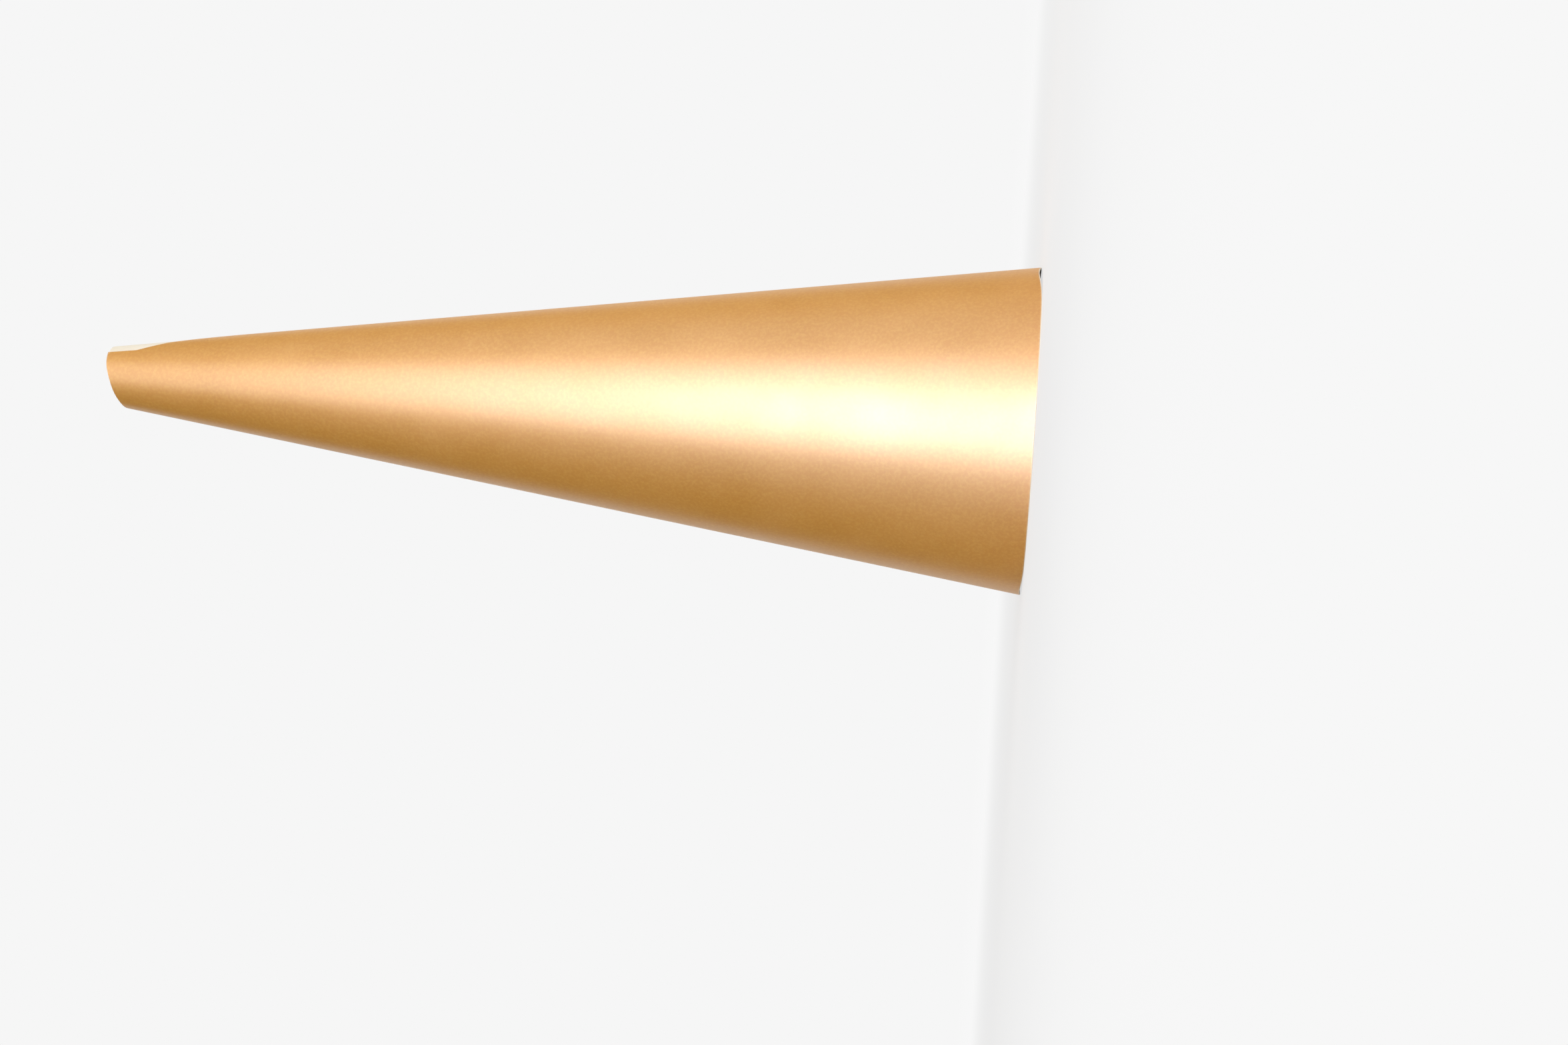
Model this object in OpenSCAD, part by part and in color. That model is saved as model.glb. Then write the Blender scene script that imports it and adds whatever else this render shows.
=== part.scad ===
/*
 * Cheer megaphone rolled by hand from one sheet of gold-faced card.
 *
 * The cone stands on its bell: the rim lies on z = 0, the mouth is up and the cone's axis is Z.
 * The sheet winds inwards like a spiral, so its two long edges lap without touching, and strips
 * of double-sided tape fill the space between the lapped layers.
 *
 * Lengths are millimetres. Angles around the cone run from +X towards -Y, the side that is seen
 * first. Distances "along the sheet" are measured from the point where the cone would end in a tip.
 */

/* [Cone] */
// Outside diameter of the bell at its rim
bell_d = 177; // [150:1:210]
// Outside diameter of the mouth, halfway along its slanted cut
mouth_d = 35; // [30:0.5:42]
// Height from the rim to the middle of the mouth's cut
cone_h = 508; // [420:1:600]
// Slant of the mouth's cut away from square
mouth_slant = 15.5; // [0:0.5:20]
// Angle around the cone at which the mouth reaches highest
mouth_high_at = 14; // [0:1:40]

/* [Sheet] */
// Thickness of the white card
card_t = 0.35; // [0.25:0.05:0.6]
// Thickness of the gold paper bonded to the card's outer face
gold_t = 0.1; // [0.06:0.02:0.2]
// Height of the gold paper's edge above the rim, so that the cone stands on the card
gold_rise = 0.3; // [0.2:0.1:1]
// Width of bare card along the inner long edge, where the gold paper stops short
bare_margin = 22; // [18:1:26]

/* [Lap] */
// Angle around the cone of the sheet's free corner at the mouth
corner_at = 45; // [20:1:90]
// How far the sheet laps over itself, measured around the mouth
mouth_lap = 3; // [2:0.5:6]
// How far the line of the outer long edge passes from the cone's tip
outer_edge_miss = 28; // [26:1:34]
// How far the line of the inner long edge passes from the cone's tip
inner_edge_miss = 6; // [4:1:10]

/* [Tape] */
// Width of the double-sided tape
tape_w = 12; // [6:1:15]
// Thickness of the tape, which is also the space between the lapped layers
tape_t = 0.1; // [0.06:0.02:0.2]
// Distance that the tape keeps from the long edges and from the rim
tape_inset = 2; // [1:0.5:4]
// Bare length between one strip of tape and the next
tape_spacing = 20; // [10:1:40]

/* [Hidden] */

// Flat facets in one turn of the sheet, shared by every layer
facets = 240;
facet_angle = 360 / facets;
// A facet line closer than this part of a facet to an end of a strip is left out
facet_margin = 0.05;
// Length left along the sheet where a corner would otherwise come to a point
corner_blunt = 3;

// The cone's half-angle, the height of its tip, and the rim's distance from the tip along the sheet
half_angle = atan((bell_d - mouth_d) / 2 / cone_h);
tip_h = bell_d / 2 / tan(half_angle);
rim_r = tip_h / cos(half_angle);
// Flat angle of the sheet for each degree wound around the cone
flat_ratio = sin(half_angle);

// Depths of the sheet's surfaces below its outside; one turn of winding takes it in by the pitch
gold_depth = gold_t;
sheet_depth = gold_t + card_t;
pitch = sheet_depth + tape_t;

// Winding starts at the free corner and ends beyond a full turn, under the first layer
lap_angle = mouth_lap / (mouth_d / 2) * 180 / PI;
inner_corner_wind = 360 + lap_angle;
corner_r = mouth_r(0, 0);
inner_corner_r = mouth_r(inner_corner_wind, 0);
corner_flat = asin(outer_edge_miss / corner_r);
inner_corner_flat = asin(inner_edge_miss / inner_corner_r);
first_wind = wind_at(outer_edge_miss, rim_r - corner_blunt);

// The gold paper ends at a line parallel to the inner long edge
gold_edge_miss = inner_edge_miss + bare_margin;

// The lap widens evenly towards the bell; the tape starts where it fits on the gold with its insets
lap_spread = (corner_flat + inner_corner_flat + lap_angle * flat_ratio) * PI / 180;
tape_start_r = (tape_w + 2 * tape_inset + outer_edge_miss + gold_edge_miss) / lap_spread;
tape_end_r = rim_r - tape_inset;
strips = 4;
strip_len = (tape_end_r - tape_start_r - (strips - 1) * tape_spacing) / strips;

// Offset of a surface from the cone, outwards, for its winding and its depth in the sheet
function offset_at(wind, depth) = -pitch * wind / 360 - depth;

// Distance along the sheet to a level cut at a height above the rim
function level_r(wind, depth, height) =
    (tip_h - height + offset_at(wind, depth) * sin(half_angle)) / cos(half_angle);

// Distance along the sheet to the mouth, which is cut by a slanted plane
function mouth_r(wind, depth) =
    let (
        lean = tan(mouth_slant) * cos(corner_at + wind - mouth_high_at),
        off = offset_at(wind, depth)
    )
    (tip_h - cone_h + off * (sin(half_angle) - lean * cos(half_angle)))
        / (cos(half_angle) + lean * sin(half_angle));

// Distance along the sheet to a line parallel to the outer long edge, which passes the tip by miss
function parallel_r(miss, wind) = miss / sin(corner_flat + wind * flat_ratio);

// Winding at which that line reaches a distance along the sheet
function wind_at(miss, r) = (asin(miss / r) - corner_flat) / flat_ratio;

// Distance along the sheet to a line parallel to the inner long edge, which passes the tip by miss
function inner_line_r(miss, wind) =
    miss / sin(inner_corner_flat - (wind - inner_corner_wind) * flat_ratio);

// Winding at which that line comes down to the rim
function inner_line_end(miss) =
    inner_corner_wind + (inner_corner_flat - asin(miss / (rim_r - corner_blunt))) / flat_ratio;

// Point on the round cone
function cone_point(wind, r, depth) =
    let (
        off = offset_at(wind, depth),
        radius = r * sin(half_angle) + off * cos(half_angle),
        around = corner_at + wind
    )
    [
        radius * cos(around),
        -radius * sin(around),
        tip_h - r * cos(half_angle) + off * sin(half_angle)
    ];

// The same point on the flat facets, so layers that end at different places stay face to face
function sheet_point(wind, r, depth) =
    let (
        before = floor(wind / facet_angle) * facet_angle,
        part = (wind - before) / facet_angle
    )
    (1 - part) * cone_point(before, r, depth) + part * cone_point(before + facet_angle, r, depth);

// Windings at which a strip needs a line: its two ends and every facet line between them
function facet_lines(from, to) =
    let (
        margin = facet_margin * facet_angle,
        start = ceil((from + margin) / facet_angle),
        stop = floor((to - margin) / facet_angle)
    )
    concat([from], [for (k = [start : stop]) k * facet_angle], [to]);

// Four corners of the sheet's section along one line: top of the strip first, outside before inside
function section(wind, outer_depth, inner_depth, outer_span, inner_span) = [
    sheet_point(wind, outer_span[0], outer_depth),
    sheet_point(wind, inner_span[0], inner_depth),
    sheet_point(wind, inner_span[1], inner_depth),
    sheet_point(wind, outer_span[1], outer_depth)
];

// From the mouth or a long edge down to a height above the rim, at one depth of the full sheet
function sheet_span(wind, depth, height, inner_miss) = [
    max(
        mouth_r(wind, depth),
        parallel_r(outer_edge_miss, wind),
        inner_line_r(inner_miss, wind)
    ),
    level_r(wind, depth, height)
];

// Solid between neighbouring sections, closed at both ends
module rolled_solid(sections) {
    corners = 4;
    last = len(sections) - 1;
    sides = [
        for (i = [0 : last - 1], k = [0 : corners - 1])
            let (next = (k + 1) % corners)
            [
                corners * i + k,
                corners * i + next,
                corners * (i + 1) + next,
                corners * (i + 1) + k
            ]
    ];
    first_end = [for (k = [corners - 1 : -1 : 0]) k];
    last_end = [for (k = [0 : corners - 1]) corners * last + k];
    polyhedron(
        points = [for (corner = sections) each corner],
        faces = concat([first_end], sides, [last_end]),
        convexity = 10
    );
}

// One ply of the sheet between two depths, down to a height above the rim and in to a line by its miss
module ply(outer_depth, inner_depth, height, inner_miss) {
    rolled_solid([
        for (wind = facet_lines(first_wind, inner_line_end(inner_miss)))
            section(
                wind,
                outer_depth,
                inner_depth,
                sheet_span(wind, outer_depth, height, inner_miss),
                sheet_span(wind, inner_depth, height, inner_miss)
            )
    ]);
}

// One strip of tape between the lapped layers, counted from the mouth
module tape_strip(index) {
    near_miss = outer_edge_miss + tape_inset;
    far_miss = near_miss + tape_w;
    top_r = tape_start_r + index * (strip_len + tape_spacing);
    bottom_r = top_r + strip_len;
    from = wind_at(near_miss, bottom_r - corner_blunt);
    to = wind_at(far_miss, top_r + corner_blunt);
    rolled_solid([
        for (wind = facet_lines(from, to))
            let (
                span = [
                    max(top_r, parallel_r(near_miss, wind)),
                    min(bottom_r, parallel_r(far_miss, wind))
                ]
            )
            section(wind, sheet_depth, pitch, span, span)
    ]);
}

// White card, the stiff ply
module card_sheet() {
    color("#f1ede4") ply(gold_depth, sheet_depth, 0, inner_edge_miss);
}

// Gold paper on the outside of the card, short of the inner long edge
module gold_face() {
    color("#cf9c4c") ply(0, gold_depth, gold_rise, gold_edge_miss);
}

module lap_tape_mouth() {
    color("#c8d3d8") tape_strip(0);
}

module lap_tape_upper() {
    color("#c8d3d8") tape_strip(1);
}

module lap_tape_lower() {
    color("#c8d3d8") tape_strip(2);
}

module lap_tape_bell() {
    color("#c8d3d8") tape_strip(3);
}

card_sheet();
gold_face();
lap_tape_mouth();
lap_tape_upper();
lap_tape_lower();
lap_tape_bell();
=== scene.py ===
"""Looks of a cheer megaphone rolled by hand from one sheet of gold-faced card.

The cone stands on its bell: the rim lies on z = 0 and the mouth is up. The sheet's sizes are
millimetres until its mesh is made, in metres; the camera and the studio are in metres throughout.
Angles are degrees, and around the cone they run from +X towards -Y, the side that the camera sees.
Distances along the sheet start where the cone would end in a tip.
"""

import logging
import math
from dataclasses import dataclass, field
from enum import Enum
from typing import Any

import bpy
import numpy as np
from mathutils import Matrix, Vector


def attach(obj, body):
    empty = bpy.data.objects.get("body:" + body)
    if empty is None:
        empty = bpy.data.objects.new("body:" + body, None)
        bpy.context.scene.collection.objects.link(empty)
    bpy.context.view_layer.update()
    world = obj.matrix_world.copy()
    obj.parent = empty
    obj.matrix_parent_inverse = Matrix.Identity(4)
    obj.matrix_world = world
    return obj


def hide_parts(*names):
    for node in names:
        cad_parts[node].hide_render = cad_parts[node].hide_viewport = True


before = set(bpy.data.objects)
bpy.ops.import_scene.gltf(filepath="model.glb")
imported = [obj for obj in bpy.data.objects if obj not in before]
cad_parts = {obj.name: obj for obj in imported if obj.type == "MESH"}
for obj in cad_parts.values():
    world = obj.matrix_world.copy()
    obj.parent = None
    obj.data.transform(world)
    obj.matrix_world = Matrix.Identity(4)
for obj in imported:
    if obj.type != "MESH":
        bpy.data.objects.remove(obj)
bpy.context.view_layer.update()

MM = 0.001
FULL_TURN = 360.0
HALF_TURN = 180.0
BODY = "root"
FLAT_MAP = "flat_sheet"
EDGE_DISTANCE = "edge_mm"
LOG = logging.getLogger("megaphone")

# Sockets of a Mix node set to colours, by number because their names repeat
MIX_SHARE, MIX_FIRST, MIX_SECOND, MIX_RESULT = 0, 6, 7, 2
# Most values of a noise texture lie between these two
NOISE_LOW, NOISE_HIGH = 0.3, 0.7

Colour = tuple[float, float, float, float]
# A sine wave by its share of the whole, its count in a turn and its phase
Wave = tuple[float, float, float]


def linear(hex_colour: str) -> Colour:
    """Turns an sRGB hex colour into linear light.

    Args:
        hex_colour: Six hex digits after a #.

    Returns:
        Linear red, green and blue, with an alpha of 1.
    """
    shares = [int(hex_colour[i:i + 2], 16) / 255 for i in (1, 3, 5)]
    red, green, blue = (
        c / 12.92 if c <= 0.04045 else ((c + 0.055) / 1.055) ** 2.4 for c in shares
    )
    return red, green, blue, 1.0


def add_node(
    tree: bpy.types.NodeTree,
    kind: str,
    inputs: dict[Any, Any] | None = None,
    **settings: Any,
) -> bpy.types.Node:
    """Adds a node with its settings and links.

    Args:
        tree: Node tree that takes the node.
        kind: Blender's name for the node type.
        inputs: A value, or an output socket to link, for each input's name or number.
        settings: Properties of the node, set before its inputs.

    Returns:
        The new node.
    """
    node = tree.nodes.new(kind)
    for name, value in settings.items():
        setattr(node, name, value)
    for key, value in (inputs or {}).items():
        if isinstance(value, bpy.types.NodeSocket):
            tree.links.new(value, node.inputs[key])
        else:
            node.inputs[key].default_value = value
    return node


def mix_colours(
    tree: bpy.types.NodeTree,
    share: bpy.types.NodeSocket,
    first: Colour | bpy.types.NodeSocket,
    second: Colour | bpy.types.NodeSocket,
) -> bpy.types.NodeSocket:
    """Adds a node that mixes two colours.

    Args:
        tree: Node tree that takes the node.
        share: Share of the second colour.
        first: Colour, or socket of a colour, where the share is 0.
        second: Colour, or socket of a colour, where the share is 1.

    Returns:
        Socket of the mixed colour.
    """
    inputs = {MIX_SHARE: share, MIX_FIRST: first, MIX_SECOND: second}
    return add_node(tree, "ShaderNodeMix", inputs, data_type="RGBA").outputs[MIX_RESULT]


def per_metre(size_mm: float) -> float:
    """Gives a noise scale whose features are about this many millimetres."""
    return 1.0 / (size_mm * MM)


def from_around(angle: float, distance: float, height: float) -> Vector:
    """Gives a place by its angle around the cone in degrees, and its distance and height in metres."""
    turn = math.radians(angle)
    return Vector((distance * math.cos(turn), -distance * math.sin(turn), height))


def add_waves(waves: tuple[Wave, ...], turn: np.ndarray) -> np.ndarray:
    """Adds up sine waves at angles in radians."""
    return sum(share * np.sin(count * turn + phase) for share, count, phase in waves)


class Ply(Enum):
    """The plies of the sheet, from the outside in."""

    GOLD_PAPER = "gold_paper"
    WHITE_CARD = "white_card"


class LampReach(Enum):
    """What a lamp lights: everything, or only the gloss or the body colour of a surface."""

    ALL = "all"
    GLOSS = "gloss"
    BODY_COLOUR = "body_colour"


@dataclass(frozen=True)
class Finish:
    """A finish: a named material with one Principled shader, dressed by each kind of finish."""

    name: str = "finish"

    def material(self) -> bpy.types.Material:
        """Makes the material.

        Returns:
            The material, with its nodes made and linked.
        """
        made = bpy.data.materials.new(self.name)
        made.use_nodes = True
        tree = made.node_tree
        tree.nodes.clear()
        surface = add_node(tree, "ShaderNodeBsdfPrincipled")
        self.dress(tree, surface)
        add_node(tree, "ShaderNodeOutputMaterial", {"Surface": surface.outputs["BSDF"]})
        return made

    def dress(self, tree: bpy.types.NodeTree, surface: bpy.types.Node) -> None:
        """Sets and links the shader's inputs; each finish has its own."""
        raise NotImplementedError


@dataclass(frozen=True)
class PearlGoldPaper(Finish):
    """Pearl-coated gold paper: a blade-coated layer of flat pearl flakes over a gold-brown body.

    The flakes lie nearly flat and have a high index, so light comes back from them as a broad pale
    sheen on top of the gold, and edges seen at a slant go pale. The body stays an even gold.
    """

    name: str = "pearl_gold_paper_blade_coated"
    gold: str = "#D79216"
    gold_deep: str = "#CF8912"
    fleck: str = "#E0A73D"
    core: str = "#E8DCC6"
    # Cloudiness of the coating, a few centimetres across
    cloud_mm: float = 34.0
    # Real flakes are 0.02 to 0.06 mm; they are drawn in clumps that the render can show
    flake_mm: float = 1.7
    # Noise between these two turns body colour into fleck, up to the share
    clump_from: float = 0.42
    clump_to: float = 0.72
    clump_share: float = 0.65
    # Tooth of the paper under the coating, drawn about twice as coarse as it is
    tooth_mm: float = 0.5
    tooth_height_mm: float = 0.012
    tooth_strength: float = 0.35
    # Mean width of the rubbed line along the cut edges, and how much of the core shows there
    wear_mm: float = 0.5
    wear_share: float = 0.35
    # Titania on mica, as in pearl coatings: between mica's 1.6 and titania's 2.6
    flake_ior: float = 2.25
    roughness: float = 0.42
    roughness_spread: float = 0.03

    def dress(self, tree: bpy.types.NodeTree, surface: bpy.types.Node) -> None:
        """Links clouds, flake clumps, paper tooth and rubbed edges to the shader.

        Args:
            tree: The material's nodes.
            surface: Its Principled shader.
        """
        place = add_node(tree, "ShaderNodeTexCoord").outputs["Object"]
        cloud = add_node(
            tree, "ShaderNodeTexNoise",
            {"Vector": place, "Scale": per_metre(self.cloud_mm), "Detail": 3.0, "Roughness": 0.5},
        )
        flakes = add_node(
            tree, "ShaderNodeTexNoise",
            {"Vector": place, "Scale": per_metre(self.flake_mm), "Detail": 2.0, "Roughness": 0.65},
        )
        tooth = add_node(
            tree, "ShaderNodeTexNoise",
            {"Vector": place, "Scale": per_metre(self.tooth_mm), "Detail": 3.0, "Roughness": 0.6},
        )
        body = mix_colours(tree, cloud.outputs["Fac"], linear(self.gold_deep), linear(self.gold))
        clump = add_node(
            tree, "ShaderNodeMapRange",
            {
                "Value": flakes.outputs["Fac"],
                "From Min": self.clump_from,
                "From Max": self.clump_to,
                "To Max": self.clump_share,
            },
        )
        flecked = mix_colours(tree, clump.outputs["Result"], body, linear(self.fleck))
        edge = add_node(tree, "ShaderNodeAttribute", attribute_name=EDGE_DISTANCE)
        # The noise averages a half, so twice the width averages the width
        reach = add_node(
            tree, "ShaderNodeMath",
            {0: flakes.outputs["Fac"], 1: 2.0 * self.wear_mm},
            operation="MULTIPLY",
        )
        rubbed = add_node(
            tree, "ShaderNodeMapRange",
            {
                "Value": edge.outputs["Fac"],
                "From Min": 0.0,
                "From Max": reach.outputs[0],
                "To Min": self.wear_share,
                "To Max": 0.0,
            },
        )
        worn = mix_colours(tree, rubbed.outputs["Result"], flecked, linear(self.core))
        gloss = add_node(
            tree, "ShaderNodeMapRange",
            {
                "Value": cloud.outputs["Fac"],
                "From Min": NOISE_LOW,
                "From Max": NOISE_HIGH,
                "To Min": self.roughness - self.roughness_spread,
                "To Max": self.roughness + self.roughness_spread,
            },
        )
        relief = add_node(
            tree, "ShaderNodeBump",
            {
                "Strength": self.tooth_strength,
                "Distance": self.tooth_height_mm * MM,
                "Height": tooth.outputs["Fac"],
            },
        )
        tree.links.new(worn, surface.inputs["Base Color"])
        tree.links.new(gloss.outputs["Result"], surface.inputs["Roughness"])
        tree.links.new(relief.outputs["Normal"], surface.inputs["Normal"])
        surface.inputs["IOR"].default_value = self.flake_ior


@dataclass(frozen=True)
class WhiteCard(Finish):
    """Bleached white card, calendered and uncoated: matt, faintly warm, with fine fibres."""

    name: str = "white_card_calendered"
    white: str = "#F4EBDA"
    warm: str = "#ECE0C9"
    fibre: str = "#DCCFB6"
    cloud_mm: float = 14.0
    # Fibres are about 0.03 mm wide and 2 mm long; they are drawn wider so that they show
    fibre_wide_mm: float = 0.25
    fibre_long_mm: float = 2.4
    fibre_height_mm: float = 0.02
    fibre_strength: float = 0.5
    # Noise between these two turns the sheet's colour into fibre, up to the share
    fibre_from: float = 0.55
    fibre_to: float = 0.8
    fibre_share: float = 0.5
    ior: float = 1.5
    roughness: float = 0.82
    roughness_spread: float = 0.06

    def dress(self, tree: bpy.types.NodeTree, surface: bpy.types.Node) -> None:
        """Links fibres that follow the flat sheet, and faint clouds, to the shader.

        Args:
            tree: The material's nodes.
            surface: Its Principled shader.
        """
        flat = add_node(tree, "ShaderNodeUVMap", uv_map=FLAT_MAP).outputs["UV"]
        along = add_node(
            tree, "ShaderNodeMapping",
            {
                "Vector": flat,
                "Scale": (per_metre(self.fibre_wide_mm), per_metre(self.fibre_long_mm), 1.0),
            },
        )
        fibres = add_node(
            tree, "ShaderNodeTexNoise",
            {"Vector": along.outputs["Vector"], "Scale": 1.0, "Detail": 4.0, "Roughness": 0.6},
        )
        place = add_node(tree, "ShaderNodeTexCoord").outputs["Object"]
        cloud = add_node(
            tree, "ShaderNodeTexNoise",
            {"Vector": place, "Scale": per_metre(self.cloud_mm), "Detail": 4.0},
        )
        sheet = mix_colours(tree, cloud.outputs["Fac"], linear(self.white), linear(self.warm))
        thread = add_node(
            tree, "ShaderNodeMapRange",
            {
                "Value": fibres.outputs["Fac"],
                "From Min": self.fibre_from,
                "From Max": self.fibre_to,
                "To Max": self.fibre_share,
            },
        )
        flecked = mix_colours(tree, thread.outputs["Result"], sheet, linear(self.fibre))
        matt = add_node(
            tree, "ShaderNodeMapRange",
            {
                "Value": fibres.outputs["Fac"],
                "From Min": NOISE_LOW,
                "From Max": NOISE_HIGH,
                "To Min": self.roughness - self.roughness_spread,
                "To Max": self.roughness + self.roughness_spread,
            },
        )
        relief = add_node(
            tree, "ShaderNodeBump",
            {
                "Strength": self.fibre_strength,
                "Distance": self.fibre_height_mm * MM,
                "Height": fibres.outputs["Fac"],
            },
        )
        tree.links.new(flecked, surface.inputs["Base Color"])
        tree.links.new(matt.outputs["Result"], surface.inputs["Roughness"])
        tree.links.new(relief.outputs["Normal"], surface.inputs["Normal"])
        surface.inputs["IOR"].default_value = self.ior


@dataclass(frozen=True)
class ClearTape(Finish):
    """Double-sided tape: a clear cast film under soft acrylic glue, milky where it is stacked."""

    name: str = "clear_tape_cast_film"
    film: str = "#D3DBDC"
    milky: str = "#E3E7E5"
    # Swirls that the roller leaves in the glue
    swirl_mm: float = 3.0
    swirl_height_mm: float = 0.02
    swirl_strength: float = 0.3
    ior: float = 1.48
    # Roughness in the troughs and on the crests of the swirls
    roughness_low: float = 0.2
    roughness_high: float = 0.45

    def dress(self, tree: bpy.types.NodeTree, surface: bpy.types.Node) -> None:
        """Links the swirls of the glue to the shader's colour, gloss and relief.

        Args:
            tree: The material's nodes.
            surface: Its Principled shader.
        """
        place = add_node(tree, "ShaderNodeTexCoord").outputs["Object"]
        swirl = add_node(
            tree, "ShaderNodeTexNoise",
            {"Vector": place, "Scale": per_metre(self.swirl_mm), "Detail": 3.0, "Distortion": 0.8},
        )
        glue = mix_colours(tree, swirl.outputs["Fac"], linear(self.film), linear(self.milky))
        gloss = add_node(
            tree, "ShaderNodeMapRange",
            {
                "Value": swirl.outputs["Fac"],
                "To Min": self.roughness_low,
                "To Max": self.roughness_high,
            },
        )
        relief = add_node(
            tree, "ShaderNodeBump",
            {
                "Strength": self.swirl_strength,
                "Distance": self.swirl_height_mm * MM,
                "Height": swirl.outputs["Fac"],
            },
        )
        tree.links.new(glue, surface.inputs["Base Color"])
        tree.links.new(gloss.outputs["Result"], surface.inputs["Roughness"])
        tree.links.new(relief.outputs["Normal"], surface.inputs["Normal"])
        surface.inputs["IOR"].default_value = self.ior


@dataclass(frozen=True)
class Cone:
    """The straight cone that the sheet is rolled to, as in the part's source."""

    bell_d: float = 177.0
    mouth_d: float = 35.0
    height: float = 508.0
    mouth_slant: float = 15.5
    mouth_high_at: float = 14.0

    @property
    def half_angle(self) -> float:
        """Half-angle of the cone, in radians."""
        return math.atan((self.bell_d - self.mouth_d) / 2 / self.height)

    @property
    def tip_h(self) -> float:
        """Height of the tip above the rim."""
        return self.bell_d / 2 / math.tan(self.half_angle)

    @property
    def rim_r(self) -> float:
        """Distance of the rim from the tip, along the sheet."""
        return self.tip_h / math.cos(self.half_angle)

    @property
    def flat_ratio(self) -> float:
        """Flat angle of the sheet for each degree wound around the cone."""
        return math.sin(self.half_angle)

    def level_r(self, off: np.ndarray, height: np.ndarray) -> np.ndarray:
        """Finds where a level cut crosses the sheet.

        Args:
            off: Offset of the surface from the cone, outwards.
            height: Height of the cut above the rim.

        Returns:
            Distances from the tip along the sheet.
        """
        return (self.tip_h - height + off * math.sin(self.half_angle)) / math.cos(self.half_angle)

    def mouth_r(self, around: np.ndarray, off: np.ndarray) -> np.ndarray:
        """Finds where the slanted cut of the mouth crosses the sheet.

        Args:
            around: Angles around the cone.
            off: Offset of the surface from the cone, outwards.

        Returns:
            Distances from the tip along the sheet.
        """
        lean = math.tan(math.radians(self.mouth_slant)) * np.cos(
            np.radians(around - self.mouth_high_at)
        )
        sine, cosine = math.sin(self.half_angle), math.cos(self.half_angle)
        return (self.tip_h - self.height + off * (sine - lean * cosine)) / (cosine + lean * sine)

    def point(self, around: np.ndarray, r: np.ndarray, off: np.ndarray) -> np.ndarray:
        """Places points of the sheet on the cone.

        Args:
            around: Angles around the cone.
            r: Distances from the tip along the sheet.
            off: Offsets from the cone, outwards.

        Returns:
            Points in millimetres, with x, y and z on the last axis.
        """
        sine, cosine = math.sin(self.half_angle), math.cos(self.half_angle)
        radius, turn = r * sine + off * cosine, np.radians(around)
        return np.stack(
            [radius * np.cos(turn), -radius * np.sin(turn), self.tip_h - r * cosine + off * sine],
            axis=-1,
        )


@dataclass(frozen=True)
class HandCut:
    """How far the hand-cut edges and the hand-rolled surface stray from the true cone."""

    # Two places on the rim that are cut short: angle, spread and height
    rim_short: tuple[tuple[float, float, float], ...] = ((21.0, 9.0, 1.7), (165.0, 8.0, 0.9))
    # Waver of the scissors around the mouth
    mouth_waver: float = 0.25
    mouth_waves: tuple[Wave, ...] = ((0.6, 3.0, 0.7), (0.4, 7.0, 2.1))
    # Waver of the scissors along the long edges: its waves, the length of one turn, and the shift that
    # makes the inner edge differ from the outer
    edge_waver: float = 0.2
    edge_waves: tuple[Wave, ...] = ((0.6, 1.0, 0.0), (0.4, 2.3, 1.0))
    edge_wave: float = 70.0
    inner_shift: float = 20.0
    # Sliver trimmed off the outer long edge below the free corner: its start from the tip, and how
    # much further down the cone it reaches with each degree around
    sliver_from: float = 138.0
    sliver_run: float = 0.9
    # Windings nearer to the free corner than this count as the corner
    corner_width: float = 0.01
    # Faint flats left along the cone by rolling: waves around it, and the rates at which they drift
    # around it with the distance from the tip, in radians for each length of the drift
    flats: float = 0.025
    flat_waves: tuple[Wave, ...] = ((0.5, 5.0, 1.3), (0.3, 8.0, 0.4), (0.2, 13.0, 2.2))
    flat_rates: tuple[float, ...] = (1.0, -1.7, 0.6)
    flat_drift: float = 260.0
    # Lift of the free corner, and how far it reaches in from the edge and down it
    corner_lift: float = 0.3
    lift_in: float = 14.0
    lift_down: float = 42.0

    def rim_rise(self, around: np.ndarray) -> np.ndarray:
        """Gives the height of the cut rim above the floor.

        Args:
            around: Angles around the cone.

        Returns:
            Heights, none below zero.
        """
        rise = np.zeros_like(around)
        for angle, spread, height in self.rim_short:
            away = (around - angle + HALF_TURN) % FULL_TURN - HALF_TURN
            rise = rise + height * np.exp(-0.5 * (away / spread) ** 2)
        return rise

    def mouth_stray(self, around: np.ndarray) -> np.ndarray:
        """Gives how far the mouth's cut strays along the sheet at angles around the cone."""
        return self.mouth_waver * add_waves(self.mouth_waves, np.radians(around))

    def edge_stray(self, r: np.ndarray) -> np.ndarray:
        """Gives how far a long edge strays from its line at distances along the sheet."""
        return self.edge_waver * add_waves(self.edge_waves, 2 * math.pi * r / self.edge_wave)

    def sliver_end(self, wind: np.ndarray) -> np.ndarray:
        """Gives the distance from the tip down to which the sliver is trimmed away.

        Args:
            wind: Windings from the free corner.

        Returns:
            Distances along the sheet, or zero on the side of the corner that isn't trimmed.
        """
        return np.where(wind < -self.corner_width, self.sliver_from - self.sliver_run * wind, 0.0)

    def relief(self, around: np.ndarray, r: np.ndarray) -> np.ndarray:
        """Gives the faint flats of the rolled surface, the same for every layer of the lap.

        Args:
            around: Angles around the cone.
            r: Distances from the tip along the sheet.

        Returns:
            Offsets, outwards.
        """
        turn = np.radians(around)
        drift = r / self.flat_drift
        waves = sum(
            share * np.sin(count * turn + phase + rate * drift)
            for (share, count, phase), rate in zip(self.flat_waves, self.flat_rates)
        )
        return self.flats * waves


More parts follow.
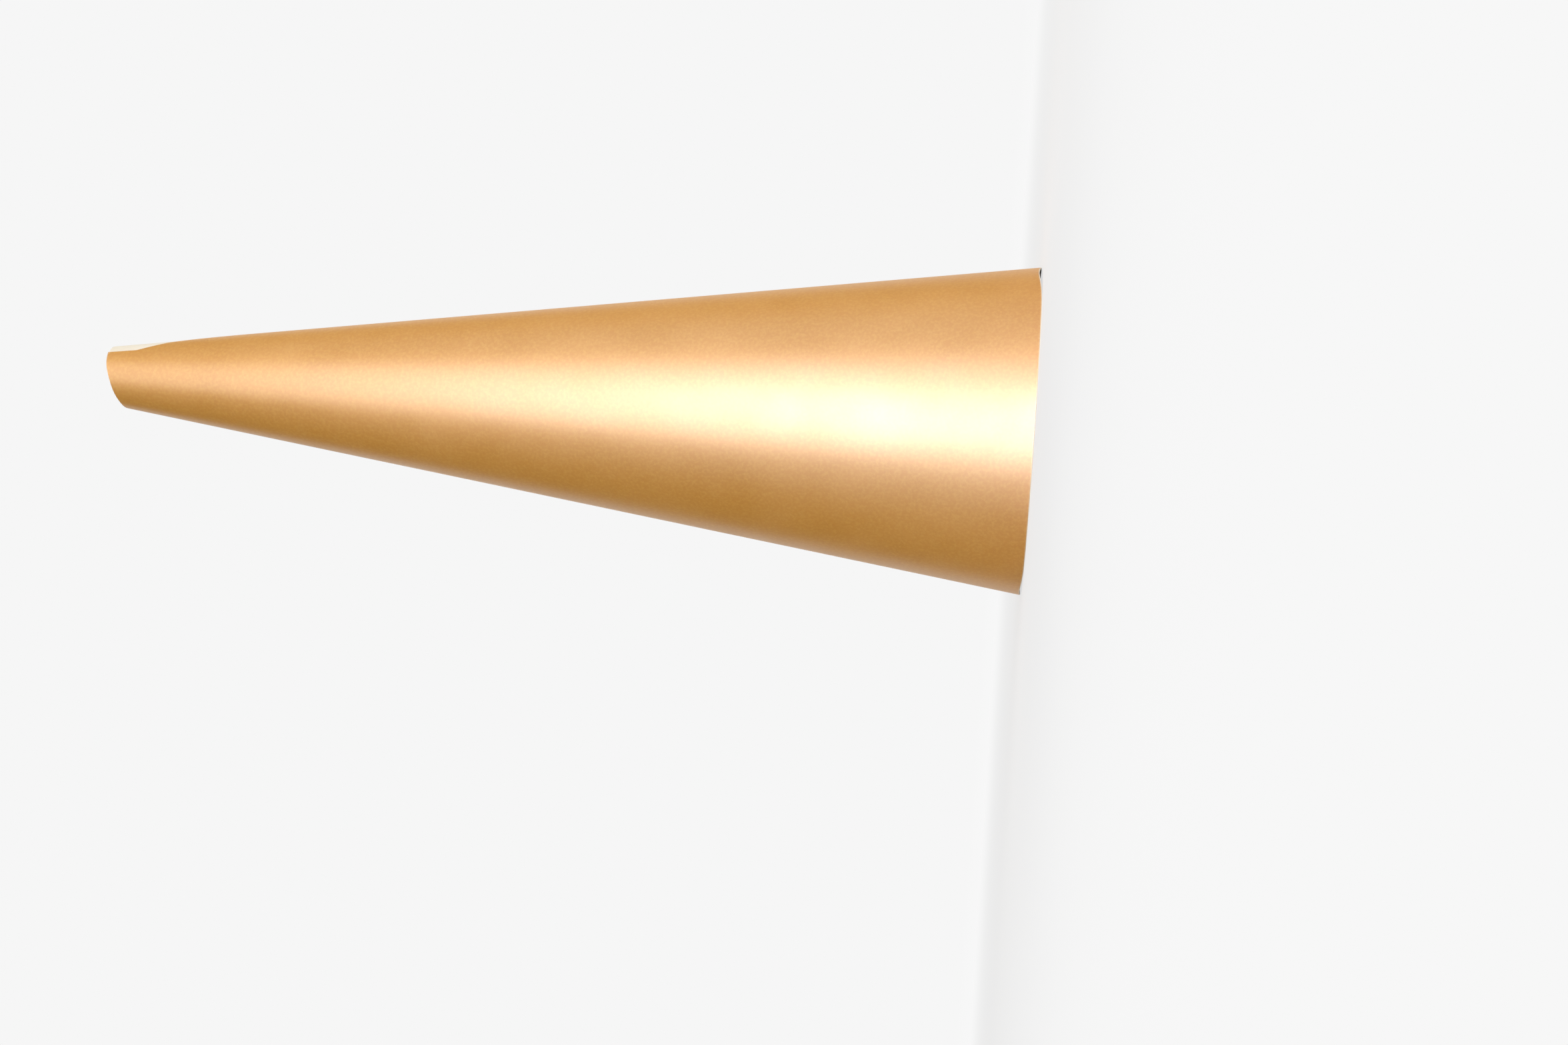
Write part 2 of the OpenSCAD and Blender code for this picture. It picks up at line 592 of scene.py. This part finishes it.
@dataclass
class RolledSheet:
    """The sheet: gold paper bonded to white card, rolled one and a quarter turns into the cone."""

    cone: Cone = field(default_factory=Cone)
    cut: HandCut = field(default_factory=HandCut)
    gold_paper: Finish = field(default_factory=PearlGoldPaper)
    white_card: Finish = field(default_factory=WhiteCard)
    # Sizes of the sheet and of its lap, as in the part's source
    gold_t: float = 0.1
    card_t: float = 0.35
    tape_t: float = 0.1
    gold_rise: float = 0.3
    bare_margin: float = 22.0
    corner_at: float = 45.0
    mouth_lap: float = 3.0
    outer_edge_miss: float = 28.0
    inner_edge_miss: float = 6.0
    corner_blunt: float = 3.0
    # Mesh lines down the cone lie this many degrees apart, each with so many rows
    line_step: float = 1.5
    rows: int = 73
    # A line closer than this part of a step to a corner is left out, and no line is shorter than this
    line_margin: float = 0.1
    line_least: float = 0.5
    # Steps of the search for the corner where an inner edge meets the mouth
    corner_steps: int = 2000
    # Faces that meet at more than this angle keep a sharp edge
    sharp_angle: float = 40.0
    # Worked out from the sizes above: how far each turn winds in, the winding of the inner corner at the
    # mouth, the flat angles at both corners, where the outer edge ends and at which winding
    pitch: float = field(init=False)
    inner_corner_wind: float = field(init=False)
    corner_flat: float = field(init=False)
    inner_flat: float = field(init=False)
    end_r: float = field(init=False)
    first_wind: float = field(init=False)

    def __post_init__(self) -> None:
        """Works out where the sheet's corners lie on the cone and in the flat."""
        cone = self.cone
        self.pitch = self.gold_t + self.card_t + self.tape_t
        self.inner_corner_wind = FULL_TURN + math.degrees(self.mouth_lap / (cone.mouth_d / 2))
        corner_r = float(self.mouth_line(np.zeros(1), 0.0)[0])
        inner_r = float(self.mouth_line(np.array([self.inner_corner_wind]), 0.0)[0])
        self.corner_flat = math.degrees(math.asin(self.outer_edge_miss / corner_r))
        self.inner_flat = math.degrees(math.asin(self.inner_edge_miss / inner_r))
        self.end_r = cone.rim_r - self.corner_blunt
        self.first_wind = (
            math.degrees(math.asin(self.outer_edge_miss / self.end_r)) - self.corner_flat
        ) / cone.flat_ratio

    def inner_miss(self, ply: Ply) -> float:
        """Gives how far a ply's inner edge passes from the tip; the gold paper stops short."""
        return self.inner_edge_miss + (self.bare_margin if ply is Ply.GOLD_PAPER else 0.0)

    def last_wind(self, ply: Ply) -> float:
        """Gives the winding at which a ply's inner edge comes down to the rim."""
        down = math.degrees(math.asin(self.inner_miss(ply) / self.end_r))
        return self.inner_corner_wind + (self.inner_flat - down) / self.cone.flat_ratio

    def inner_corner(self, ply: Ply) -> float:
        """Gives the winding at which a ply's inner edge meets the mouth."""
        wind = np.linspace(HALF_TURN, self.inner_corner_wind, self.corner_steps)
        past = self.from_inner_edge(ply, wind, self.mouth_line(wind, 0.0))
        return float(np.interp(0.0, -past, wind))

    def depths(self, ply: Ply) -> tuple[float, float]:
        """Gives the depths of a ply's two faces below the sheet's outside."""
        if ply is Ply.GOLD_PAPER:
            return 0.0, self.gold_t
        return self.gold_t, self.gold_t + self.card_t

    def offset(self, wind: np.ndarray, depth: float) -> np.ndarray:
        """Gives the offset from the cone: the sheet winds inwards by its pitch in each turn."""
        return -self.pitch * wind / FULL_TURN - depth

    def mouth_line(self, wind: np.ndarray, depth: float) -> np.ndarray:
        """Gives the distance of the mouth's true cut from the tip, along the sheet."""
        return self.cone.mouth_r(self.corner_at + wind, self.offset(wind, depth))

    def outer_sine(self, wind: np.ndarray) -> np.ndarray:
        """Gives the sine of the flat angle from the outer long edge's direction to a winding."""
        return np.sin(np.radians(self.corner_flat + wind * self.cone.flat_ratio))

    def inner_sine(self, wind: np.ndarray) -> np.ndarray:
        """Gives the sine of the flat angle from the inner long edge's direction to a winding."""
        past = wind - self.inner_corner_wind
        return np.sin(np.radians(self.inner_flat - past * self.cone.flat_ratio))

    def from_outer_edge(self, wind: np.ndarray, r: np.ndarray) -> np.ndarray:
        """Gives the distance from the outer long edge, measured in the flat sheet."""
        return r * self.outer_sine(wind) - self.outer_edge_miss

    def from_inner_edge(self, ply: Ply, wind: np.ndarray, r: np.ndarray) -> np.ndarray:
        """Gives the distance from a ply's inner edge, measured in the flat sheet."""
        return r * self.inner_sine(wind) - self.inner_miss(ply)

    def lines(self, ply: Ply) -> np.ndarray:
        """Gives the windings of the mesh's lines.

        Args:
            ply: Which ply.

        Returns:
            Windings from the first to the last, with the two corners of the mouth among them.
        """
        last = self.last_wind(ply)
        steps = np.arange(
            math.ceil(self.first_wind / self.line_step), math.floor(last / self.line_step) + 1
        ) * self.line_step
        corners = np.array([self.first_wind, 0.0, self.inner_corner(ply), last])
        nearest = np.abs(steps[:, None] - corners[None, :]).min(axis=1)
        far = nearest > self.line_margin * self.line_step
        return np.sort(np.concatenate([steps[far], corners]))

    def span(self, ply: Ply, wind: np.ndarray, depth: float) -> tuple[np.ndarray, np.ndarray]:
        """Finds where each line starts and ends along the sheet.

        Args:
            ply: Which ply.
            wind: Windings of the lines.
            depth: Depth of the surface below the sheet's outside.

        Returns:
            Distances from the tip to the mouth or a long edge, and to the rim.
        """
        around = self.corner_at + wind
        cut, inner_miss = self.cut, self.inner_miss(ply)
        outer_sine, inner_sine = self.outer_sine(wind), self.inner_sine(wind)
        outer_stray = cut.edge_stray(self.outer_edge_miss / outer_sine)
        inner_stray = cut.edge_stray(inner_miss / inner_sine + cut.inner_shift)
        outer = (self.outer_edge_miss + outer_stray) / outer_sine
        inner = (inner_miss + inner_stray) / inner_sine
        mouth = self.mouth_line(wind, depth) + cut.mouth_stray(around)
        start = np.maximum(np.maximum(mouth, outer), inner)
        start = np.maximum(start, cut.sliver_end(wind))
        rise = self.gold_rise if ply is Ply.GOLD_PAPER else 0.0
        end = self.cone.level_r(self.offset(wind, depth), cut.rim_rise(around) + rise)
        return start, np.maximum(end, start + self.line_least)

    def face(self, ply: Ply, wind: np.ndarray, depth: float) -> dict[str, np.ndarray]:
        """Lays out one face of a ply as a grid, with lines by rows.

        Args:
            ply: Which ply.
            wind: Windings of the lines.
            depth: Depth of the face below the sheet's outside.

        Returns:
            Points in metres, flat-sheet places in metres, and distances from the nearest cut edge.
        """
        start, end = self.span(ply, wind, depth)
        share = np.linspace(0.0, 1.0, self.rows)
        r = start[:, None] + (end - start)[:, None] * share[None, :]
        turns = np.broadcast_to(wind[:, None], r.shape)
        around = self.corner_at + turns
        from_edge = np.maximum(self.from_outer_edge(turns, r), 0.0)
        below = np.maximum(r - self.span(ply, np.zeros(1), 0.0)[0], 0.0)
        lift = self.cut.corner_lift * np.exp(
            -(from_edge / self.cut.lift_in) ** 2 - (below / self.cut.lift_down) ** 2
        )
        off = self.offset(turns, depth) + self.cut.relief(around, r) + lift
        flat = np.radians(turns * self.cone.flat_ratio)
        edge = np.minimum(r - start[:, None], end[:, None] - r)
        edge = np.minimum(edge, np.maximum(self.from_inner_edge(ply, turns, r), 0.0))
        return {
            "points": self.cone.point(around, r, off) * MM,
            "flat": np.stack([r * np.sin(flat), r * np.cos(flat)], axis=-1) * MM,
            "edge": np.minimum(edge, from_edge),
        }

    def build(self, ply: Ply, node: str, name: str) -> bpy.types.Object:
        """Builds one ply as a closed sheet in place of its CAD node.

        Args:
            ply: Which ply.
            node: CAD node that it stands for.
            name: Name of the new piece.

        Returns:
            The piece, dressed and riding on its body.
        """
        wind = self.lines(ply)
        outer, inner = (self.face(ply, wind, depth) for depth in self.depths(ply))
        lines, rows = len(wind), self.rows
        out = np.arange(lines * rows).reshape(lines, rows)
        into = out + lines * rows
        quads = [
            np.stack([out[:-1, :-1], out[1:, :-1], out[1:, 1:], out[:-1, 1:]], axis=-1),
            np.stack([into[:-1, :-1], into[:-1, 1:], into[1:, 1:], into[1:, :-1]], axis=-1),
            np.stack([out[:-1, 0], into[:-1, 0], into[1:, 0], out[1:, 0]], axis=-1),
            np.stack([out[:-1, -1], out[1:, -1], into[1:, -1], into[:-1, -1]], axis=-1),
            np.stack([out[0, :-1], out[0, 1:], into[0, 1:], into[0, :-1]], axis=-1),
            np.stack([out[-1, :-1], into[-1, :-1], into[-1, 1:], out[-1, 1:]], axis=-1),
        ]
        faces = np.concatenate([q.reshape(-1, 4) for q in quads])
        both = {
            key: np.concatenate([part[key].reshape(lines * rows, -1) for part in (outer, inner)])
            for key in outer
        }
        mesh = bpy.data.meshes.new(name)
        mesh.from_pydata(both["points"].tolist(), [], faces.tolist())
        flat_map = mesh.uv_layers.new(name=FLAT_MAP)
        flat_map.data.foreach_set("uv", both["flat"][faces.ravel()].astype(np.float32).ravel())
        distance = mesh.attributes.new(EDGE_DISTANCE, "FLOAT", "POINT")
        distance.data.foreach_set("value", both["edge"].astype(np.float32).ravel())
        mesh.shade_smooth()
        mesh.set_sharp_from_angle(angle=math.radians(self.sharp_angle))
        mesh.update()
        piece = bpy.data.objects.new(name, mesh)
        bpy.context.scene.collection.objects.link(piece)
        finish = self.gold_paper if ply is Ply.GOLD_PAPER else self.white_card
        mesh.materials.append(finish.material())
        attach(piece, BODY)
        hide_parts(node)
        LOG.info("%s: %d faces for %s", name, len(faces), node)
        return piece


@dataclass
class LapTape:
    """The strips of double-sided tape in the lap, which keep their CAD shape."""

    nodes: tuple[str, ...] = (
        "lap_tape_mouth",
        "lap_tape_upper",
        "lap_tape_lower",
        "lap_tape_bell",
    )
    film: Finish = field(default_factory=ClearTape)

    def dress(self) -> None:
        """Gives each strip the tape's material."""
        made = self.film.material()
        for name in self.nodes:
            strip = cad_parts[name]
            strip.data.materials.clear()
            strip.data.materials.append(made)
            LOG.info("%s: dressed as %s", name, made.name)


@dataclass(frozen=True)
class PhotoCamera:
    """The camera, fitted to both silhouettes and the rim of the cone."""

    image: tuple[int, int] = (2352, 1568)
    lens_mm: float = 50.0
    sensor_mm: float = 36.0
    # Centre of the bell in the image, and its distance along the line of sight
    bell_px: tuple[float, float] = (1546.5, 648.3)
    bell_away: float = 1.1771
    # Slope of the cone's axis across the image, and how far the bell turns to the camera
    roll: float = 3.78
    turn: float = 5.08
    clip_start: float = 0.01

    def place(self) -> bpy.types.Object:
        """Makes the camera and sets it as the scene's.

        Returns:
            The camera.
        """
        slope, turn = math.radians(self.roll), math.radians(self.turn)
        axis = Vector((
            -math.cos(slope) * math.cos(turn), -math.sin(slope) * math.cos(turn), math.sin(turn)
        ))
        above = Vector((math.sin(slope), -math.cos(slope), 0.0))
        above = (above - axis * above.dot(axis)).normalized()
        # Columns are the frame's axes seen from the camera: right, down and forwards
        seen = Matrix((above, axis.cross(above), axis)).transposed()
        focal_px = self.lens_mm / self.sensor_mm * self.image[0]
        bell = Vector((
            (self.bell_px[0] - self.image[0] / 2) / focal_px * self.bell_away,
            (self.bell_px[1] - self.image[1] / 2) / focal_px * self.bell_away,
            self.bell_away,
        ))
        right, down, forward = seen
        lens = bpy.data.cameras.new("photo_camera")
        lens.lens, lens.sensor_width, lens.sensor_fit = self.lens_mm, self.sensor_mm, "HORIZONTAL"
        lens.clip_start = self.clip_start
        camera = bpy.data.objects.new("photo_camera", lens)
        camera.matrix_world = (
            Matrix.Translation(-(seen.transposed() @ bell))
            @ Matrix((right, -down, -forward)).transposed().to_4x4()
        )
        bpy.context.scene.collection.objects.link(camera)
        bpy.context.scene.camera = camera
        return camera


@dataclass(frozen=True)
class Softbox:
    """A softbox: where it stands around the cone, its size, its power in watts and what it lights."""

    name: str
    around: float
    away: float
    height: float
    wide: float
    tall: float
    power: float
    # Height on the cone's axis that it is turned to
    aim_height: float = 0.2
    reach: LampReach = LampReach.ALL

    def place(self) -> bpy.types.Object:
        """Makes the lamp, turned to the cone.

        Returns:
            The lamp.
        """
        lamp = bpy.data.lights.new(self.name, "AREA")
        lamp.shape, lamp.size, lamp.size_y = "RECTANGLE", self.wide, self.tall
        lamp.energy = self.power
        stand = bpy.data.objects.new(self.name, lamp)
        stand.location = from_around(self.around, self.away, self.height)
        aim = Vector((0.0, 0.0, self.aim_height)) - stand.location
        stand.rotation_euler = aim.to_track_quat("-Z", "Y").to_euler()
        stand.visible_diffuse = self.reach is not LampReach.GLOSS
        stand.visible_glossy = self.reach is not LampReach.BODY_COLOUR
        bpy.context.scene.collection.objects.link(stand)
        return stand


@dataclass(frozen=True)
class Flag:
    """A card beside the cone that the camera doesn't see, for the gold to reflect."""

    name: str
    around: float
    away: float
    width: float
    height: float
    grey: str
    roughness: float = 0.9

    def place(self) -> bpy.types.Object:
        """Makes the card, standing on the floor with its face to the cone.

        Returns:
            The card.
        """
        out = from_around(self.around, 1.0, 0.0)
        middle = out * self.away
        half = Vector((out.y, -out.x, 0.0)) * (self.width / 2)
        top = Vector((0.0, 0.0, self.height))
        mesh = bpy.data.meshes.new(self.name)
        corners = [middle - half, middle + half, middle + half + top, middle - half + top]
        mesh.from_pydata([tuple(c) for c in corners], [], [(0, 1, 2, 3)])
        made = bpy.data.materials.new(self.name)
        made.use_nodes = True
        surface = made.node_tree.nodes["Principled BSDF"]
        surface.inputs["Base Color"].default_value = linear(self.grey)
        surface.inputs["Roughness"].default_value = self.roughness
        mesh.materials.append(made)
        card = bpy.data.objects.new(self.name, mesh)
        card.visible_camera = False
        card.visible_diffuse = False
        card.visible_shadow = False
        bpy.context.scene.collection.objects.link(card)
        return card


@dataclass
class Studio:
    """The plain pale floor and background, and the soft light."""

    floor_colour: str = "#F0F0EF"
    floor_glow: str = "#F7F7F7"
    background: str = "#F6F6F6"
    ambient: float = 0.475
    floor_radius: float = 6.0
    floor_points: int = 96
    # Scale of the faint clouds in the floor's paint, per metre
    floor_clouds: float = 3.0
    # Share of plain glow in the floor at the cone, and the distances between which it grows to all
    floor_pale: float = 0.7
    pale_from: float = 0.25
    pale_to: float = 1.1
    # Distances between which the floor's glow takes on the background's colour
    far_from: float = 0.8
    far_to: float = 4.0
    # Angle around the cone, distance and height of the middle, width and height of the lamp, and watts
    lamps: tuple[Softbox, ...] = (
        Softbox("front_wide", 84.0, 1.35, 0.55, 2.8, 1.1, 12.2),
        Softbox("front_sheen", 84.0, 1.4, 0.57, 2.9, 1.14, 27.2, reach=LampReach.GLOSS),
        Softbox("bell_sheen", 87.0, 1.25, 0.35, 0.8, 0.6, 10.2, reach=LampReach.GLOSS),
        Softbox("side_sheen", 134.0, 1.2, 0.35, 0.5, 0.5, 1.1, reach=LampReach.GLOSS),
        Softbox("top_fill", 15.0, 1.1, 0.45, 1.0, 1.0, 4.3),
        Softbox("back_fill", 276.0, 1.8, 0.8, 0.9, 0.9, 9.5, reach=LampReach.BODY_COLOUR),
        Softbox("back_sheen", 270.0, 1.9, 0.45, 0.6, 0.9, 10.0, reach=LampReach.GLOSS),
    )
    # Angle around the cone, distance, width and height of the card, and its grey
    flags: tuple[Flag, ...] = (
        Flag("dark_flag", 171.0, 0.42, 1.04, 1.2, "#1C1A18"),
        Flag("grey_flag", 0.0, 0.5, 1.0, 1.2, "#969492"),
    )

    def pale_rays(self, tree: bpy.types.NodeTree) -> bpy.types.NodeSocket:
        """Tells the rays that see the background from those that only light things.

        Args:
            tree: Node tree of the world or of a stage material.

        Returns:
            A socket that is 1 for camera, glossy and transmission rays, and otherwise 0.
        """
        path = add_node(tree, "ShaderNodeLightPath")
        seen = add_node(
            tree, "ShaderNodeMath",
            {0: path.outputs["Is Camera Ray"], 1: path.outputs["Is Glossy Ray"]},
            operation="ADD",
        )
        both = add_node(
            tree, "ShaderNodeMath",
            {0: seen.outputs[0], 1: path.outputs["Is Transmission Ray"]},
            operation="ADD", use_clamp=True,
        )
        return both.outputs[0]

    def make_world(self) -> None:
        """Makes the pale background, which lights the cone at the plain ambient level."""
        world = bpy.data.worlds.new("pale_studio")
        world.use_nodes = True
        tree = world.node_tree
        tree.nodes.clear()
        level = add_node(
            tree, "ShaderNodeMapRange", {"Value": self.pale_rays(tree), "To Min": self.ambient}
        )
        light = add_node(
            tree, "ShaderNodeBackground",
            {"Color": linear(self.background), "Strength": level.outputs["Result"]},
        )
        add_node(tree, "ShaderNodeOutputWorld", {"Surface": light.outputs["Background"]})
        bpy.context.scene.world = world

    def make_floor(self) -> bpy.types.Object:
        """Makes the floor, which keeps the cone's shadow and fades into the background.

        Returns:
            The floor.
        """
        mesh = bpy.data.meshes.new("floor")
        turns = np.linspace(0.0, 2 * math.pi, self.floor_points, endpoint=False)
        radius = self.floor_radius
        rim = [(radius * math.cos(turn), radius * math.sin(turn), 0.0) for turn in turns]
        mesh.from_pydata(rim, [], [tuple(range(len(rim)))])
        made = bpy.data.materials.new("pale_painted_board")
        made.use_nodes = True
        tree = made.node_tree
        tree.nodes.clear()
        place = add_node(tree, "ShaderNodeTexCoord").outputs["Object"]
        cloud = add_node(
            tree, "ShaderNodeTexNoise",
            {"Vector": place, "Scale": self.floor_clouds, "Detail": 2.0},
        )
        backdrop = linear(self.background)
        paint = mix_colours(tree, cloud.outputs["Fac"], linear(self.floor_colour), backdrop)
        board = add_node(tree, "ShaderNodeBsdfDiffuse", {"Color": paint})
        away = add_node(tree, "ShaderNodeVectorMath", {0: place}, operation="LENGTH")
        fade = add_node(
            tree, "ShaderNodeMapRange",
            {
                "Value": away.outputs["Value"],
                "From Min": self.pale_from,
                "From Max": self.pale_to,
                "To Min": self.floor_pale,
                "To Max": 1.0,
            },
            interpolation_type="SMOOTHSTEP",
        )
        far = add_node(
            tree, "ShaderNodeMapRange",
            {
                "Value": away.outputs["Value"],
                "From Min": self.far_from,
                "From Max": self.far_to,
            },
            interpolation_type="SMOOTHSTEP",
        )
        pale = mix_colours(tree, far.outputs["Result"], linear(self.floor_glow), backdrop)
        glow = add_node(tree, "ShaderNodeEmission", {"Color": pale})
        share = add_node(
            tree, "ShaderNodeMath",
            {0: fade.outputs["Result"], 1: self.pale_rays(tree)},
            operation="MULTIPLY",
        )
        mixed = add_node(
            tree, "ShaderNodeMixShader",
            {0: share.outputs[0], 1: board.outputs["BSDF"], 2: glow.outputs["Emission"]},
        )
        add_node(tree, "ShaderNodeOutputMaterial", {"Surface": mixed.outputs["Shader"]})
        mesh.materials.append(made)
        floor = bpy.data.objects.new("floor", mesh)
        bpy.context.scene.collection.objects.link(floor)
        return floor

    def build(self) -> None:
        """Makes the floor, the background, the lamps and the flags."""
        self.make_world()
        self.make_floor()
        for thing in (*self.lamps, *self.flags):
            thing.place()
        bpy.context.scene.view_settings.view_transform = "Standard"


def main() -> None:
    """Builds the megaphone, the camera and the studio in order."""
    logging.basicConfig(level=logging.INFO, format="%(name)s %(message)s")
    PhotoCamera().place()
    sheet = RolledSheet()
    sheet.build(Ply.GOLD_PAPER, "gold_face", "gold_paper_ply")
    sheet.build(Ply.WHITE_CARD, "card_sheet", "white_card_ply")
    LapTape().dress()
    Studio().build()


if __name__ == "__main__":
    main()
